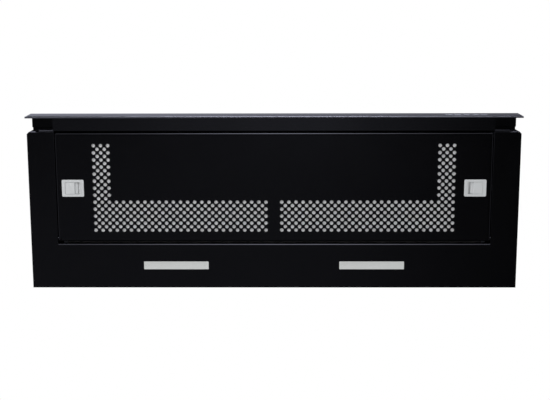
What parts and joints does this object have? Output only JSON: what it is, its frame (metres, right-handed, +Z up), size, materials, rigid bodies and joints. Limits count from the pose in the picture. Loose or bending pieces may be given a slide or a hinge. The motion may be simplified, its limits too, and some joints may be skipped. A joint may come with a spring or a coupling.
{
  "type": "telescopic range hood",
  "caption": "Slim pull-out range hood with a lift-down perforated filter panel, sliding latches, oblong lamps, blower box and round top outlet.",
  "frame": {"origin": "centre of the four cabinet fixing holes, on the top face of the tray", "axes": "+X to the right as seen from the front, +Y to the wall, +Z up; the fascia faces -Y"},
  "size_m": [0.898, 0.3196, 0.2132],
  "materials": {
    "black_paint": "semi-gloss",
    "fascia_steel": "brushed along X",
    "housing_paint": "satin",
    "zinc_steel": "zinc plated",
    "black_plastic": "fine texture",
    "grey_plastic": "satin",
    "latch_grey": "satin",
    "button_metal": "satin",
    "lens_white": "frosted",
    "filter_rim": "satin",
    "filter_weave": "woven mesh",
    "motor_metal": "satin",
    "spring_steel": "polished",
    "electric_white": "satin"
  },
  "bodies": {
    "hood_body": {"lower_tray": "black_paint", "upper_housing": "housing_paint", "outer_rail_left": "zinc_steel", "outer_rail_right": "zinc_steel", "rail_screws": "zinc_steel", "lamp_housing_left": "black_plastic", "lamp_housing_right": "black_plastic", "led_board_left": "electric_white", "led_board_right": "electric_white", "lamp_lens_left": "lens_white", "lamp_lens_right": "lens_white", "scroll_tub": "grey_plastic", "scroll_cover": "grey_plastic", "motor_body": "motor_metal", "blower_hangers": "zinc_steel", "outlet_elbow": "grey_plastic", "outlet_spigot": "grey_plastic", "junction_box": "black_plastic", "junction_lid": "black_plastic", "cable_gland": "black_plastic", "capacitor": "electric_white", "led_driver": "electric_white"},
    "drawer": {"drawer_front": "black_paint", "end_cap_left": "black_plastic", "end_cap_right": "black_plastic", "fascia": "fascia_steel", "fascia_core": "black_plastic", "drawer_frame": "black_paint", "drawer_filter_frame": "filter_rim", "drawer_filter_mesh": "filter_weave", "inner_rail_left": "zinc_steel", "inner_rail_right": "zinc_steel", "switch_block": "black_plastic"},
    "ball_cage_left": {"ball_cage_left": "black_plastic"},
    "ball_cage_right": {"ball_cage_right": "black_plastic"},
    "panel": {"filter_panel": "black_paint", "hinge_pins": "zinc_steel", "filter_frame_left": "filter_rim", "filter_frame_right": "filter_rim", "filter_mesh_left": "filter_weave", "filter_mesh_right": "filter_weave", "filter_clips": "zinc_steel", "latch_bezel_left": "latch_grey", "latch_bezel_right": "latch_grey", "latch_spring_left": "spring_steel", "latch_spring_right": "spring_steel"},
    "latch_left": {"latch_slider_left": "latch_grey"},
    "latch_right": {"latch_slider_right": "latch_grey"},
    "impeller": {"impeller": "grey_plastic", "motor_shaft": "zinc_steel"},
    "flap_left": {"flap_left": "grey_plastic"},
    "flap_right": {"flap_right": "grey_plastic"},
    "button_light": {"button_light": "button_metal"},
    "button_off": {"button_off": "button_metal"},
    "button_speed_1": {"button_speed_1": "button_metal"},
    "button_speed_2": {"button_speed_2": "button_metal"},
    "button_speed_3": {"button_speed_3": "button_metal"}
  },
  "joints": [
    {"name": "drawer_slide", "type": "slide", "parent": "hood_body", "child": "drawer", "axis": [0, -1, 0], "range_m": [0, 0.17]},
    {"name": "cage_left_slide", "type": "slide", "parent": "hood_body", "child": "ball_cage_left", "axis": [0, -1, 0], "range_m": [0, 0.085]},
    {"name": "cage_right_slide", "type": "slide", "parent": "hood_body", "child": "ball_cage_right", "axis": [0, -1, 0], "range_m": [0, 0.085]},
    {"name": "panel_hinge", "type": "hinge", "parent": "hood_body", "child": "panel", "pos_m": [0, 0.066, -0.0427], "axis": [1, 0, 0], "range_deg": [0, 90]},
    {"name": "latch_left_slide", "type": "slide", "parent": "panel", "child": "latch_left", "axis": [1, 0, 0], "range_m": [0, 0.007], "stiffness_N_per_m": 300, "springref_m": -0.004, "deforming": ["latch_spring_left"]},
    {"name": "latch_right_slide", "type": "slide", "parent": "panel", "child": "latch_right", "axis": [-1, 0, 0], "range_m": [0, 0.007], "stiffness_N_per_m": 300, "springref_m": -0.004, "deforming": ["latch_spring_right"]},
    {"name": "impeller_spin", "type": "hinge", "parent": "hood_body", "child": "impeller", "pos_m": [-0.13, 0.04, 0.035], "axis": [0, 0, 1], "continuous": true},
    {"name": "flap_left_hinge", "type": "hinge", "parent": "hood_body", "child": "flap_left", "pos_m": [0.048, 0, 0.1405], "axis": [0, 1, 0], "range_deg": [0, 70]},
    {"name": "flap_right_hinge", "type": "hinge", "parent": "hood_body", "child": "flap_right", "pos_m": [0.056, 0, 0.1405], "axis": [0, -1, 0], "range_deg": [0, 70]},
    {"name": "button_light_press", "type": "slide", "parent": "drawer", "child": "button_light", "axis": [0, 1, 0], "range_m": [0, 0.002], "stiffness_N_per_m": 500, "springref_m": -0.001},
    {"name": "button_off_press", "type": "slide", "parent": "drawer", "child": "button_off", "axis": [0, 1, 0], "range_m": [0, 0.002], "stiffness_N_per_m": 500, "springref_m": -0.001},
    {"name": "button_speed_1_press", "type": "slide", "parent": "drawer", "child": "button_speed_1", "axis": [0, 1, 0], "range_m": [0, 0.002], "stiffness_N_per_m": 500, "springref_m": -0.001},
    {"name": "button_speed_2_press", "type": "slide", "parent": "drawer", "child": "button_speed_2", "axis": [0, 1, 0], "range_m": [0, 0.002], "stiffness_N_per_m": 500, "springref_m": -0.001},
    {"name": "button_speed_3_press", "type": "slide", "parent": "drawer", "child": "button_speed_3", "axis": [0, 1, 0], "range_m": [0, 0.002], "stiffness_N_per_m": 500, "springref_m": -0.001}
  ],
  "couplings": [
    {"joint": "cage_left_slide", "follows": "drawer_slide", "ratio": 0.5},
    {"joint": "cage_right_slide", "follows": "drawer_slide", "ratio": 0.5}
  ]
}
